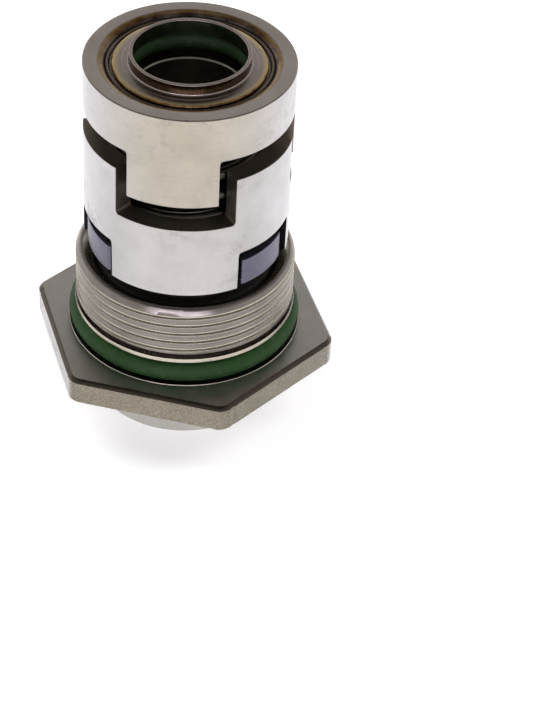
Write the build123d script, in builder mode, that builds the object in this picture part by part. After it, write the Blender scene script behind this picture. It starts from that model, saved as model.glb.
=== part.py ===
from build123d import *
import os
from math import cos, radians, sin, tan

# Cartridge mechanical seal for a 16 mm shaft, standing on its clamp collar.
# Millimetres, +Z up along the shaft axis, origin at the middle of the collar's lower face.
# Three lugs of the driver cup hang into three notches of the driver ring, and the driver ring's
# three windows turn the silicon carbide ring by its own three lugs. The radii run outwards from
# the shaft, the levels upwards from the collar's lower face.

# ---- shaft, sleeve and fits ------------------------------------------------------------------
shaft_diameter = 16.0
bore_clearance = 0.02       # radial, sleeve on the shaft
sleeve_wall = 1.0
running_clearance = 0.08    # radial, what slides or turns on the sleeve
seating_clearance = 0.02    # radial, what is pressed or welded on the sleeve
free_clearance = 0.35       # radial, seal ring round the sleeve
face_gap = 0.02             # between faces that bear on each other
edge_break = 0.2            # small chamfer on turned edges

# ---- spring ------------------------------------------------------------------------------------
spring_wire = 1.8
spring_pitch = 3.5
spring_sleeve_gap = 1.03    # radial, coil round the sleeve
spring_cage_gap = 0.3       # radial, coil inside the cage
spring_washer_thickness = 1.0
cage_bore_gap = 0.15        # radial, washers and seal ring inside the cage

# ---- drive crown: cup and driver ring -----------------------------------------------------------
lug_count = 3
cage_wall = 3.1
cup_lug_angle = 51.4        # degrees round the axis
cup_lug_length = 7.64
cup_height = 7.26           # from the lug roots to the rim
cup_web_thickness = 1.1
root_fillet = 0.5
crown_play = 8.7            # free angle on each side of a cup lug in its notch, degrees
crown_turn = 1.3            # driver ring turned against the cup at rest, degrees
crown_gap = 3.74            # driver ring's top to the lug roots
notch_end_gap = 4.0         # cup lug's end to the bottom of its notch
ring_height = 19.7
ring_web_thickness = 1.85
ring_lift = 1.8             # driver ring above the carrier's rim
window_play = 3.7           # free angle on each side of a seal lug in its window, degrees
window_head = 2.1           # window above the seal lug
window_web_gap = 0.15       # web underside above the top of the windows

# ---- cup mouth, cap ring and shaft O-ring ---------------------------------------------------------
shaft_o_ring_section = 2.85
shaft_o_ring_clearance = 0.11   # radial, O-ring outside the sleeve's bore
shaft_o_ring_gap = 0.225        # O-ring below the cap ring
chamber_depth = 4.0             # O-ring chamber, shelf of the cap ring to its floor
cap_shelf_drop = 1.0            # shelf that carries the cap ring, below the rim
cap_seat_width = 0.15           # radial, cap ring on its shelf
cap_sheet = 0.6
cap_bore_clearance = 0.13       # radial, cap ring outside the sleeve's bore
cap_height = 2.35               # underside of the flange to the top of the collar
cap_bend_radius = 0.7
bead_gap = 0.35                 # radial, cap ring to the weld bead
bead_width = 0.55
bead_drop = 0.75                # weld bead below the rim
bead_crown = 0.16
mouth_round_width = 1.15        # rounding between the rim's flat and the bead
mouth_round_rise = 0.19         # how far that rounding stands out of a straight bevel

# ---- rotating seal ring and its O-ring --------------------------------------------------------------
seal_lug_angle = 37.6
seal_lug_height = 4.4
seal_lug_drop = 0.1         # lug underside below the driver ring
seal_lug_setback = 0.55     # lug's outside inside the driver ring's
seal_lug_fillet = 0.5
seal_web_gap = 0.05         # back of the seal ring under the driver ring's web
seal_nose_width = 1.8
seal_nose_step = 0.2        # nose inside the seal ring's body, radial
seal_nose_depth = 1.5       # sealing face below the carrier's rim
ring_o_ring_section = 1.78
ring_o_ring_clearance = 0.05    # radial, O-ring outside the sleeve
ring_o_ring_recess = 3.0        # depth of the counterbore behind the seal ring
backup_thickness = 1.0

# ---- stationary seat ---------------------------------------------------------------------------------
seat_height = 6.5
seat_body_height = 4.8
seat_face_margin = 1.4      # radial, seat's face outside the nose
seat_shoulder = 0.65        # radial, shoulder that the snap ring holds
seat_bore_clearance = 0.53
seat_o_ring_section = 2.0
seat_o_ring_squeeze_gap = 0.03  # radial, O-ring inside the pocket
seat_groove_width = 2.9
seat_groove_height = 1.6    # groove above the seat's underside
pocket_clearance = 0.15
pin_diameter = 1.6
pin_length = 3.4
pin_stand = 1.0             # pin above the pocket floor
pin_slot_clearance = 0.15   # slot of the pin, each side
pin_head_gap = 0.2          # slot above the pin
snap_wire = 0.9
snap_gap_angle = 24.0       # opening of a snap ring, degrees

# ---- carrier -----------------------------------------------------------------------------------------
thread_wall = 2.5           # pocket to the thread's crests, M33 x 1.5
thread_length = 7.1
thread_pitch = 1.5
thread_depth = 0.3          # shallow form with wide crests: the root shows from above
thread_root = 0.26         # flat at the bottom of the groove
thread_flank = 30.0         # flank against the radius, degrees
thread_overcut = 0.3        # cutter outside the crests
thread_entry = 86.4         # where the groove leaves the relief, degrees
lead_length = 1.1
lead_depth = 0.65
relief_width = 0.9
relief_depth = 1.0
land_step = 0.2             # land outside the thread's crests, radial
land_width = 0.6
groove_depth = 2.55         # O-ring groove below the thread's crests
groove_width = 3.7
carrier_o_ring_section = 3.4
carrier_o_ring_lift = 0.3   # above the hexagon's face
recess_margin = 0.13        # shallow turned recess outside the carrier O-ring
recess_depth = 0.25
hex_margin = 3.0            # hexagon's flats outside that recess
hex_thickness = 4.5
hex_corner_radius = 2.5
hex_edge_chamfer = 0.42
hex_turn = -6.25            # hexagon against the cup at rest, degrees
mouth_chamfer = 1.7
mouth_rim = 0.15            # flat left between the two chamfers of the rim
carrier_bore_clearance = 0.68

# ---- clamp collar --------------------------------------------------------------------------------------
collar_wall = 4.86
collar_height = 7.9
collar_gap = 0.3            # collar to hexagon
collar_edge = 0.3
sleeve_end_lift = 0.3       # sleeve end above the collar's lower face
screw_diameter = 4.9        # M5, plain
screw_hole_clearance = 0.08
screw_height = 4.4
screw_sunk = 0.5            # outer end of a screw below the collar's surface
screw_entry = 0.12          # screw tip below the sleeve's surface
screw_tip_chamfer = 0.7
socket_flats = 2.5
socket_depth = 2.0
screw_angles = (-30.0, 90.0, 210.0)
retainer_wire = 0.8
retainer_bite = 0.3         # wire ring below the sleeve's surface
retainer_margin = 0.48      # radial, recess outside the wire ring
retainer_recess_depth = 1.35

# ---- radii that follow ---------------------------------------------------------------------------------
front = -90.0               # the middle of one cup lug looks along -Y
sleeve_bore_radius = shaft_diameter / 2 + bore_clearance
sleeve_radius = sleeve_bore_radius + sleeve_wall
seated_radius = sleeve_radius + seating_clearance
running_radius = sleeve_radius + running_clearance

spring_mean_radius = sleeve_radius + spring_sleeve_gap + spring_wire / 2
cage_bore_radius = spring_mean_radius + spring_wire / 2 + spring_cage_gap
cage_radius = cage_bore_radius + cage_wall
spring_washer_radius = cage_bore_radius - cage_bore_gap
notch_angle = cup_lug_angle + 2 * crown_play
window_angle = seal_lug_angle + 2 * window_play

shaft_o_ring_radius = sleeve_bore_radius + shaft_o_ring_clearance
chamber_radius = shaft_o_ring_radius + shaft_o_ring_section + face_gap
cap_collar_bore = sleeve_bore_radius + cap_bore_clearance
cap_collar_radius = cap_collar_bore + cap_sheet
cap_flange_radius = chamber_radius + cap_seat_width
bead_inner_radius = cap_flange_radius + bead_gap
bead_outer_radius = bead_inner_radius + bead_width
mouth_flat_radius = bead_outer_radius + mouth_round_width

seal_body_radius = cage_bore_radius - cage_bore_gap
seal_lug_radius = cage_radius - seal_lug_setback
seal_bore_radius = sleeve_radius + free_clearance
seal_nose_outer = seal_body_radius - seal_nose_step
seal_nose_inner = seal_nose_outer - seal_nose_width
ring_o_ring_radius = sleeve_radius + ring_o_ring_clearance
ring_o_ring_groove = ring_o_ring_radius + ring_o_ring_section + face_gap

seat_face_radius = seal_nose_outer + seat_face_margin
seat_radius = seat_face_radius + seat_shoulder
seat_bore_radius = sleeve_radius + seat_bore_clearance
pocket_radius = seat_radius + pocket_clearance
seat_o_ring_radius = pocket_radius - seat_o_ring_squeeze_gap - seat_o_ring_section
seat_groove_radius = seat_o_ring_radius - face_gap
carrier_bore_radius = sleeve_radius + carrier_bore_clearance
pin_circle_radius = (carrier_bore_radius + pocket_radius) / 2

thread_radius = pocket_radius + thread_wall
land_radius = thread_radius + land_step
groove_radius = thread_radius - groove_depth
carrier_o_ring_radius = groove_radius + face_gap
recess_radius = carrier_o_ring_radius + carrier_o_ring_section + recess_margin
hex_flats = 2 * (recess_radius + hex_margin)
rim_outer = thread_radius - lead_depth
rim_inner = rim_outer - mouth_rim

collar_radius = seated_radius + collar_wall
retainer_centre = sleeve_radius + retainer_wire / 2 - retainer_bite
retainer_recess_radius = retainer_centre + retainer_wire / 2 + retainer_margin
screw_hole_radius = screw_diameter / 2 + screw_hole_clearance
screw_outer = collar_radius - screw_sunk
screw_length = screw_outer - sleeve_radius + screw_entry
screw_planes = [
    Plane(origin=(0, 0, screw_height), z_dir=(cos(radians(angle)), sin(radians(angle)), 0))
    for angle in screw_angles
]

# ---- levels that follow ----------------------------------------------------------------------------------
retainer_height = retainer_recess_depth - retainer_wire / 2 - face_gap
hex_bottom = collar_height + collar_gap
hex_top = hex_bottom + hex_thickness
land_bottom = hex_top + groove_width
land_top = land_bottom + land_width
thread_bottom = land_top + relief_width
thread_top = thread_bottom + thread_length
carrier_top = thread_top + lead_length
seal_face = carrier_top - seal_nose_depth
seat_bottom = seal_face - seat_height
seat_groove_bottom = seat_bottom + seat_groove_height
snap_height = seat_bottom + seat_body_height + snap_wire / 2 + face_gap
pocket_floor = seat_bottom - face_gap
pin_top = pocket_floor + pin_stand

ring_bottom = carrier_top + ring_lift
seal_lug_bottom = ring_bottom - seal_lug_drop
window_top = seal_lug_bottom + seal_lug_height + window_head
ring_web_bottom = window_top + window_web_gap
ring_web_top = ring_web_bottom + ring_web_thickness
ring_top = ring_bottom + ring_height
seal_back = ring_web_bottom - seal_web_gap
seal_recess_floor = seal_back - ring_o_ring_recess
backup_bottom = seal_recess_floor + face_gap

lug_root = ring_top + crown_gap
lug_bottom = lug_root - cup_lug_length
notch_bottom = lug_bottom - notch_end_gap
cup_top = lug_root + cup_height
cap_shelf = cup_top - cap_shelf_drop
chamber_floor = cap_shelf - chamber_depth
cup_web_bottom = chamber_floor - cup_web_thickness
shaft_o_ring_height = cap_shelf - shaft_o_ring_gap - shaft_o_ring_section / 2

lower_washer_bottom = ring_web_top + face_gap
spring_bottom = lower_washer_bottom + spring_washer_thickness + face_gap
upper_washer_bottom = cup_web_bottom - spring_washer_thickness
spring_top = upper_washer_bottom - face_gap


def sector(radius, centre_angle, width):
    """Pie-shaped face between two radial lines, for slots and lugs with radial sides."""
    start = centre_angle - width / 2
    tips = [(radius * cos(radians(a)), radius * sin(radians(a))) for a in (start, start + width)]
    with BuildSketch() as pie:
        with BuildLine():
            Line((0, 0), tips[0])
            CenterArc((0, 0), radius, start, width)
            Line(tips[1], (0, 0))
        make_face()
    return pie.sketch


def o_ring(inner_radius, section, height):
    """Plain O-ring round the shaft axis, its section centred at the height."""
    with BuildPart() as ring:
        with BuildSketch(Plane.XZ):
            with Locations((inner_radius + section / 2, height)):
                Circle(section / 2)
        revolve(axis=Axis.Z)
    return ring


def washer(inner_radius, outer_radius, bottom, thickness):
    """Flat washer round the shaft axis, its outer edges broken."""
    with BuildPart() as disc:
        with BuildSketch(Plane.XY.offset(bottom)):
            Circle(outer_radius)
            Circle(inner_radius, mode=Mode.SUBTRACT)
        extrude(amount=thickness)
        circles = disc.edges().filter_by(GeomType.CIRCLE)
        chamfer(circles.group_by(SortBy.RADIUS)[-1], edge_break / 2)
    return disc


def wire_ring(centre_radius, wire, height, gap_angle):
    """Open snap ring bent from round wire."""
    with BuildPart() as ring:
        with BuildSketch(Plane.XZ):
            with Locations((centre_radius, height)):
                Circle(wire / 2)
        revolve(axis=Axis.Z, revolution_arc=360 - gap_angle)
    return ring


def radial_edges(builder, height):
    """Straight edges at one level: the radial lines where slot sides meet the slot's end."""
    lines = builder.edges().filter_by(GeomType.LINE)
    return lines.filter_by_position(Axis.Z, height - 0.01, height + 0.01)


def outer_uprights(builder, radius):
    """Upright edges that lie farther than the radius from the shaft axis."""
    uprights = builder.edges().filter_by(Axis.Z)
    return uprights.filter_by(lambda edge: Vector((edge @ 0.5).X, (edge @ 0.5).Y).length > radius)


def save(builder, name):
    """Label the finished piece and write it under its own name."""
    builder.part.label = name
    export_step(builder.part, f"parts/{name}.step")


os.makedirs("parts", exist_ok=True)
from_axis = (Align.CENTER, Align.CENTER, Align.MIN)

# ---- shaft sleeve: tube through the whole cartridge --------------------------------------------------
with BuildPart() as shaft_sleeve:
    with BuildSketch(Plane.XY.offset(sleeve_end_lift)):
        Circle(sleeve_radius)
        Circle(sleeve_bore_radius, mode=Mode.SUBTRACT)
    extrude(amount=chamber_floor - sleeve_end_lift)
    chamfer(shaft_sleeve.faces().sort_by(Axis.Z)[-1].edges().sort_by(SortBy.RADIUS)[0], edge_break)
    chamfer(shaft_sleeve.faces().sort_by(Axis.Z)[0].edges().sort_by(SortBy.RADIUS)[0], edge_break)
    with BuildSketch(Plane.XZ):
        with Locations((retainer_centre, retainer_height)):
            Circle(retainer_wire / 2 + face_gap)
    revolve(axis=Axis.Z, mode=Mode.SUBTRACT)
    with Locations(*screw_planes):
        Cylinder(screw_hole_radius, collar_radius, align=from_axis, mode=Mode.SUBTRACT)
save(shaft_sleeve, "shaft_sleeve")

# ---- driver cup: turned block with three lugs, the weld bead at its mouth ---------------------------------
cut_radius = 1.1 * cage_radius
with BuildPart() as driver_cup:
    with BuildSketch(Plane.XZ):
        with BuildLine():
            Polyline(
                (cage_bore_radius, lug_bottom),
                (cage_radius, lug_bottom),
                (cage_radius, cup_top - edge_break),
                (cage_radius - edge_break, cup_top),
                (mouth_flat_radius, cup_top),
            )
            SagittaArc(
                (mouth_flat_radius, cup_top),
                (bead_outer_radius, cup_top - bead_drop),
                -mouth_round_rise,
            )
            SagittaArc(
                (bead_outer_radius, cup_top - bead_drop),
                (bead_inner_radius, cup_top - bead_drop),
                -bead_crown,
            )
            Polyline(
                (bead_inner_radius, cup_top - bead_drop),
                (bead_inner_radius, cap_shelf),
                (chamber_radius, cap_shelf),
                (chamber_radius, chamber_floor),
                (seated_radius, chamber_floor),
                (seated_radius, cup_web_bottom),
                (cage_bore_radius, cup_web_bottom),
                (cage_bore_radius, lug_bottom),
            )
        make_face()
    revolve(axis=Axis.Z)
    with BuildSketch(Plane.XY.offset(lug_bottom)):
        with PolarLocations(0, lug_count):
            add(sector(cut_radius, front + 180 / lug_count, 360 / lug_count - cup_lug_angle))
    extrude(amount=cup_lug_length, mode=Mode.SUBTRACT)
    fillet(radial_edges(driver_cup, lug_root), root_fillet)
save(driver_cup, "driver_cup")

# ---- cap ring: pressed sheet, a flange with a short collar, closes the O-ring chamber ------------------------
with BuildPart() as cap_ring:
    with BuildSketch(Plane.XZ) as cap_section:
        with BuildLine():
            Polyline(
                (cap_collar_bore, cap_shelf),
                (cap_flange_radius, cap_shelf),
                (cap_flange_radius, cap_shelf + cap_sheet),
                (cap_collar_radius, cap_shelf + cap_sheet),
                (cap_collar_radius, cap_shelf + cap_height),
                (cap_collar_bore, cap_shelf + cap_height),
                close=True,
            )
        make_face()
        corners = cap_section.vertices()
        fillet(corners.sort_by_distance((cap_collar_radius, cap_shelf + cap_sheet))[0], cap_bend_radius)
        fillet(corners.sort_by_distance((cap_collar_bore, cap_shelf))[0], cap_sheet / 2)
        fillet(corners.sort_by_distance((cap_flange_radius, cap_shelf + cap_sheet))[0], cap_sheet / 3)
        lip = cap_section.vertices().group_by(Axis.Y)[-1]
        fillet(lip, cap_sheet / 4)
    revolve(axis=Axis.Z)
save(cap_ring, "cap_ring")

# ---- shaft O-ring in its chamber under the cap ring -----------------------------------------------------------
shaft_o_ring = o_ring(shaft_o_ring_radius, shaft_o_ring_section, shaft_o_ring_height)
save(shaft_o_ring, "shaft_o_ring")

# ---- driver ring: notches above for the cup's lugs, windows below for the seal ring's lugs -----------------------
ring_front = front + crown_turn
with BuildPart() as driver_ring:
    with BuildSketch(Plane.XZ):
        with BuildLine():
            Polyline(
                (cage_bore_radius, ring_bottom),
                (cage_radius, ring_bottom),
                (cage_radius, ring_top),
                (cage_bore_radius, ring_top),
                (cage_bore_radius, ring_web_top),
                (running_radius, ring_web_top),
                (running_radius, ring_web_bottom),
                (cage_bore_radius, ring_web_bottom),
                close=True,
            )
        make_face()
    revolve(axis=Axis.Z)
    with BuildSketch(Plane.XY.offset(notch_bottom)):
        with PolarLocations(0, lug_count):
            add(sector(cut_radius, ring_front, notch_angle))
    extrude(amount=ring_top - notch_bottom, mode=Mode.SUBTRACT)
    with BuildSketch(Plane.XY.offset(ring_bottom)):
        with PolarLocations(0, lug_count):
            add(sector(cut_radius, ring_front + 180 / lug_count, window_angle))
    extrude(amount=window_top - ring_bottom, mode=Mode.SUBTRACT)
    fillet(radial_edges(driver_ring, notch_bottom), root_fillet)
    fillet(radial_edges(driver_ring, window_top), root_fillet)
save(driver_ring, "driver_ring")

# ---- spring between its two washers, plain ends ground flat ------------------------------------------------------
upper_spring_washer = washer(
    running_radius, spring_washer_radius, upper_washer_bottom, spring_washer_thickness
)
save(upper_spring_washer, "upper_spring_washer")

lower_spring_washer = washer(
    running_radius, spring_washer_radius, lower_washer_bottom, spring_washer_thickness
)
save(lower_spring_washer, "lower_spring_washer")

coil_height = spring_top - spring_bottom
with BuildPart() as spring:
    with BuildLine():
        coil = Helix(spring_pitch, coil_height, spring_mean_radius, center=(0, 0, spring_bottom))
    with BuildSketch(Plane(origin=coil @ 0, z_dir=coil % 0)):
        Circle(spring_wire / 2)
    sweep(is_frenet=True)
    split(bisect_by=Plane.XY.offset(spring_bottom), keep=Keep.TOP)
    split(bisect_by=Plane.XY.offset(spring_top), keep=Keep.BOTTOM)
save(spring, "spring")

# ---- rotating seal ring: silicon carbide, three drive lugs, raised sealing nose ----------------------------------
with BuildPart() as rotating_seal_ring:
    with BuildSketch(Plane.XZ):
        with BuildLine():
            Polyline(
                (seal_nose_inner, seal_face + face_gap),
                (seal_nose_outer, seal_face + face_gap),
                (seal_nose_outer, seal_lug_bottom),
                (seal_body_radius, seal_lug_bottom),
                (seal_body_radius, seal_back),
                (ring_o_ring_groove, seal_back),
                (ring_o_ring_groove, seal_recess_floor),
                (seal_bore_radius, seal_recess_floor),
                (seal_bore_radius, seal_lug_bottom),
                (seal_nose_inner, seal_lug_bottom),
                close=True,
            )
        make_face()
    revolve(axis=Axis.Z)
    with BuildSketch(Plane.XY.offset(seal_lug_bottom)):
        with PolarLocations(0, lug_count):
            add(sector(seal_lug_radius, ring_front + 180 / lug_count, seal_lug_angle))
        Circle(ring_o_ring_groove, mode=Mode.SUBTRACT)
    extrude(amount=seal_lug_height)
    lug_middle = (seal_body_radius + seal_lug_radius) / 2
    fillet(outer_uprights(rotating_seal_ring, lug_middle), seal_lug_fillet)
save(rotating_seal_ring, "rotating_seal_ring")

ring_backup_washer = washer(
    running_radius, ring_o_ring_groove - face_gap, backup_bottom, backup_thickness
)
save(ring_backup_washer, "ring_backup_washer")

ring_o_ring = o_ring(
    ring_o_ring_radius,
    ring_o_ring_section,
    backup_bottom + backup_thickness + ring_o_ring_section / 2 + face_gap,
)
save(ring_o_ring, "ring_o_ring")

# ---- seal carrier: hexagon, O-ring groove, male thread and the pocket of the seat ------------------------------------
# The thread is cut through a long blank, and the blank is then turned down to the carrier's upper end.
cut_start = thread_bottom - 2 * thread_pitch
cut_end = carrier_top + 2 * thread_pitch
with BuildPart() as thread_groove:
    with BuildLine() as cut_line:
        Helix(thread_pitch, cut_end - cut_start, thread_radius, center=(0, 0, cut_start))
    cut = cut_line.edges()[0]
    with BuildSketch(Plane(origin=cut @ 0, x_dir=(1, 0, 0), z_dir=cut % 0)):
        half_mouth = thread_root / 2 + (thread_depth + thread_overcut) * tan(radians(thread_flank))
        with BuildLine():
            Polyline(
                (-thread_depth, -thread_root / 2),
                (thread_overcut, -half_mouth),
                (thread_overcut, half_mouth),
                (-thread_depth, thread_root / 2),
                close=True,
            )
        make_face()
    sweep(path=cut, is_frenet=True)

with BuildPart() as threaded_blank:
    with BuildSketch(Plane.XY.offset(cut_start - thread_pitch)):
        Circle(thread_radius)
    extrude(amount=cut_end - cut_start + 2 * thread_pitch)
    add(thread_groove.part.rotate(Axis.Z, thread_entry), mode=Mode.SUBTRACT)
    with BuildSketch(Plane.XZ):
        with BuildLine():
            Polyline(
                (carrier_bore_radius, thread_bottom),
                (land_radius, thread_bottom),
                (land_radius, thread_top - land_step * lead_length / lead_depth),
                (rim_outer, carrier_top),
                (rim_inner, carrier_top),
                (rim_inner - mouth_chamfer, carrier_top - mouth_chamfer),
                (carrier_bore_radius, carrier_top - mouth_chamfer),
                close=True,
            )
        make_face()
    revolve(axis=Axis.Z, mode=Mode.INTERSECT)
threaded_end = threaded_blank.part

with BuildPart() as seal_carrier:
    with BuildSketch(Plane.XY.offset(hex_bottom)) as hexagon:
        RegularPolygon(hex_flats / 2, 6, major_radius=False, rotation=front + 30 + hex_turn)
        fillet(hexagon.vertices(), hex_corner_radius)
    extrude(amount=hex_thickness)
    chamfer(seal_carrier.faces().sort_by(Axis.Z)[-1].edges(), hex_edge_chamfer)
    with BuildSketch(Plane.XY.offset(hex_top)):
        Circle(recess_radius)
    extrude(amount=-recess_depth, mode=Mode.SUBTRACT)
    with BuildSketch(Plane.XZ):
        with BuildLine():
            Polyline(
                (carrier_bore_radius, hex_bottom + edge_break),
                (groove_radius, hex_bottom + edge_break),
                (groove_radius, land_bottom),
                (land_radius - edge_break, land_bottom),
                (land_radius, land_bottom + edge_break),
                (land_radius, land_top - edge_break),
                (land_radius - edge_break, land_top),
                (thread_radius - relief_depth, land_top),
                (thread_radius - relief_depth, thread_bottom),
                (carrier_bore_radius, thread_bottom),
                close=True,
            )
        make_face()
    revolve(axis=Axis.Z)
    add(threaded_end)
    with BuildSketch(Plane.XY.offset(pocket_floor)):
        Circle(pocket_radius)
    extrude(amount=carrier_top - pocket_floor, mode=Mode.SUBTRACT)
    with BuildSketch(Plane.XY.offset(hex_bottom)):
        Circle(carrier_bore_radius)
    extrude(amount=pocket_floor - hex_bottom, mode=Mode.SUBTRACT)
    with BuildSketch(Plane.XZ):
        with Locations((pocket_radius, snap_height)):
            Circle(snap_wire / 2 + face_gap)
    revolve(axis=Axis.Z, mode=Mode.SUBTRACT)
    with BuildSketch(Plane.XY.offset(pocket_floor)):
        with PolarLocations(pin_circle_radius, 1, start_angle=front + hex_turn):
            Circle(pin_diameter / 2)
    extrude(amount=pin_stand - pin_length, mode=Mode.SUBTRACT)
save(seal_carrier, "seal_carrier")

carrier_o_ring = o_ring(
    carrier_o_ring_radius,
    carrier_o_ring_section,
    hex_top + carrier_o_ring_lift + carrier_o_ring_section / 2,
)
save(carrier_o_ring, "carrier_o_ring")

# ---- stationary seat with its O-ring, pin and snap ring -------------------------------------------------------------
with BuildPart() as stationary_seat:
    with BuildSketch(Plane.XZ):
        with BuildLine():
            Polyline(
                (seat_bore_radius, seat_bottom),
                (seat_radius - edge_break, seat_bottom),
                (seat_radius, seat_bottom + edge_break),
                (seat_radius, seat_groove_bottom),
                (seat_groove_radius, seat_groove_bottom),
                (seat_groove_radius, seat_groove_bottom + seat_groove_width),
                (seat_radius, seat_groove_bottom + seat_groove_width),
                (seat_radius, seat_bottom + seat_body_height),
                (seat_face_radius, seat_bottom + seat_body_height),
                (seat_face_radius, seal_face - edge_break),
                (seat_face_radius - edge_break, seal_face),
                (seat_bore_radius + edge_break, seal_face),
                (seat_bore_radius, seal_face - edge_break),
                close=True,
            )
        make_face()
    revolve(axis=Axis.Z)
    with BuildSketch(Plane.XY.offset(seat_bottom)):
        with PolarLocations(pin_circle_radius, 1, start_angle=front + hex_turn):
            SlotCenterPoint((0, 0), (seat_radius, 0), pin_diameter + 2 * pin_slot_clearance)
    extrude(amount=pin_stand + pin_head_gap, mode=Mode.SUBTRACT)
save(stationary_seat, "stationary_seat")

seat_o_ring = o_ring(
    seat_o_ring_radius,
    seat_o_ring_section,
    seat_groove_bottom + seat_groove_width / 2,
)
save(seat_o_ring, "seat_o_ring")

with BuildPart() as seat_pin:
    with BuildSketch(Plane.XY.offset(pin_top)):
        with PolarLocations(pin_circle_radius, 1, start_angle=front + hex_turn):
            Circle(pin_diameter / 2)
    extrude(amount=-pin_length)
    chamfer(seat_pin.edges().group_by(Axis.Z)[-1], edge_break)
save(seat_pin, "seat_pin")

save(wire_ring(pocket_radius, snap_wire, snap_height, snap_gap_angle), "seat_snap_ring")

# ---- clamp collar under the hexagon, held by its wire ring, with three set screws -----------------------------------
with BuildPart() as clamp_collar:
    with BuildSketch(Plane.XZ):
        with BuildLine():
            Polyline(
                (retainer_recess_radius, 0),
                (collar_radius - collar_edge, 0),
                (collar_radius, collar_edge),
                (collar_radius, collar_height - collar_edge),
                (collar_radius - collar_edge, collar_height),
                (seated_radius, collar_height),
                (seated_radius, retainer_recess_depth),
                (retainer_recess_radius, retainer_recess_depth),
                close=True,
            )
        make_face()
    revolve(axis=Axis.Z)
    with Locations(*screw_planes):
        Cylinder(screw_hole_radius, collar_radius, align=from_axis, mode=Mode.SUBTRACT)
save(clamp_collar, "clamp_collar")

save(wire_ring(retainer_centre, retainer_wire, retainer_height, snap_gap_angle), "collar_snap_ring")

for number, screw_plane in enumerate(screw_planes, start=1):
    socket_plane = screw_plane.offset(screw_outer)
    with BuildPart() as set_screw:
        with BuildSketch(socket_plane):
            Circle(screw_diameter / 2)
        extrude(amount=-screw_length)
        tip = set_screw.faces().sort_by_distance((0, 0, screw_height))[0]
        chamfer(tip.edges(), screw_tip_chamfer)
        with BuildSketch(socket_plane):
            RegularPolygon(socket_flats / 2, 6, major_radius=False)
        extrude(amount=-socket_depth, mode=Mode.SUBTRACT)
    save(set_screw, f"set_screw_{number}")
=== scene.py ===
"""Cartridge shaft seal: looks, studio and camera, laid out as an add-on.

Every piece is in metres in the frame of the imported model: +Z up along the shaft axis, the clamp
collar's lower face on the floor. Sizes below are written in millimetres and multiplied by MM.
"""

from functools import partial
from math import atan2, cos, degrees, hypot, pi, radians, sin, sqrt, tan

import bmesh
import bpy
from mathutils import Matrix, Vector


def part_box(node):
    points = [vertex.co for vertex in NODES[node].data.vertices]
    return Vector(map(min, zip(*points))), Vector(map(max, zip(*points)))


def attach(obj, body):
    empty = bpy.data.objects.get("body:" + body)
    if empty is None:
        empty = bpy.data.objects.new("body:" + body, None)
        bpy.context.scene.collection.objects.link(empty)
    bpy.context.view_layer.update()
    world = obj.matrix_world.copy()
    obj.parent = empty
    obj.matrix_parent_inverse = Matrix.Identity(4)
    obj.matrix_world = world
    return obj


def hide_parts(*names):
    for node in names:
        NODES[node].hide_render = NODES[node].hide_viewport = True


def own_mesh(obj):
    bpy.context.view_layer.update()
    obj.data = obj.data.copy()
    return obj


bl_info = {
    "name": "Cartridge Shaft Seal",
    "version": (1, 0, 0),
    "blender": (4, 5, 0),
    "location": "View3D > Sidebar > Shaft Seal",
    "description": "Builds the pieces, finishes and studio of a cartridge mechanical shaft seal",
    "category": "Object",
}

MM = 0.001
FRONT = -90.0  # the middle of one cup lug looks along -Y, degrees
THIRDS = (0.0, 120.0, 240.0)
AXIS = (0, 0, -1)  # spin turns anticlockwise seen from above with this
HARD_EDGE = radians(22)  # faces that meet at more than this keep a hard edge
ARC_STEP = 18  # degrees of bend for each step of a rounded corner
COARSE = 2.4  # degrees of each step round the cage
SAME = 0.001  # mm: levels closer than this are the same
LEVEL = 0.9  # share of a normal along the axis beyond which a face counts as level
OUTSIDE = 0.6  # share of a normal away from the axis beyond which a face looks outwards

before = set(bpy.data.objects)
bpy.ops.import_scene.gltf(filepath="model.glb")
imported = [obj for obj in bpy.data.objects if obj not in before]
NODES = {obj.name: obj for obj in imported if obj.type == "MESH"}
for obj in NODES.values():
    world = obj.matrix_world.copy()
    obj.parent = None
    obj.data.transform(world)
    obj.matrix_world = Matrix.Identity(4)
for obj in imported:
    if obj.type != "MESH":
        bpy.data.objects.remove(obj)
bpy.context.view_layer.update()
CUP_LOW, CUP_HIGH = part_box("driver_cup")
RING_LOW, RING_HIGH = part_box("driver_ring")
CAP_LOW, CAP_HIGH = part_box("cap_ring")
SPRING_LOW, SPRING_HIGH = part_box("spring")
CARRIER_LOW, CARRIER_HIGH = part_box("seal_carrier")
SEAL_LOW, SEAL_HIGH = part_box("rotating_seal_ring")


def linear(hex_colour):
    """Linear red, green, blue and alpha of an sRGB hex colour."""
    parts = [int(hex_colour[i : i + 2], 16) / 255 for i in (1, 3, 5)]
    return (*[c / 12.92 if c <= 0.04045 else ((c + 0.055) / 1.055) ** 2.4 for c in parts], 1.0)


# ---- properties --------------------------------------------------------------------------------


def length(description, default):
    """A size in millimetres as a length property."""
    return bpy.props.FloatProperty(
        description=description, default=default * MM, unit="LENGTH", precision=5
    )


def turn(description, default):
    """An angle in degrees as a rotation property."""
    return bpy.props.FloatProperty(
        description=description, default=radians(default), subtype="ANGLE"
    )


def colour(description, default):
    """A colour property from an sRGB hex value."""
    return bpy.props.FloatVectorProperty(
        description=description, default=linear(default), size=4, min=0, max=1, subtype="COLOR"
    )


def name_properties(group):
    """Name each property of a group after its key."""
    for key, prop in group.__annotations__.items():
        prop.keywords["name"] = key.replace("_", " ").capitalize()
    return group


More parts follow.
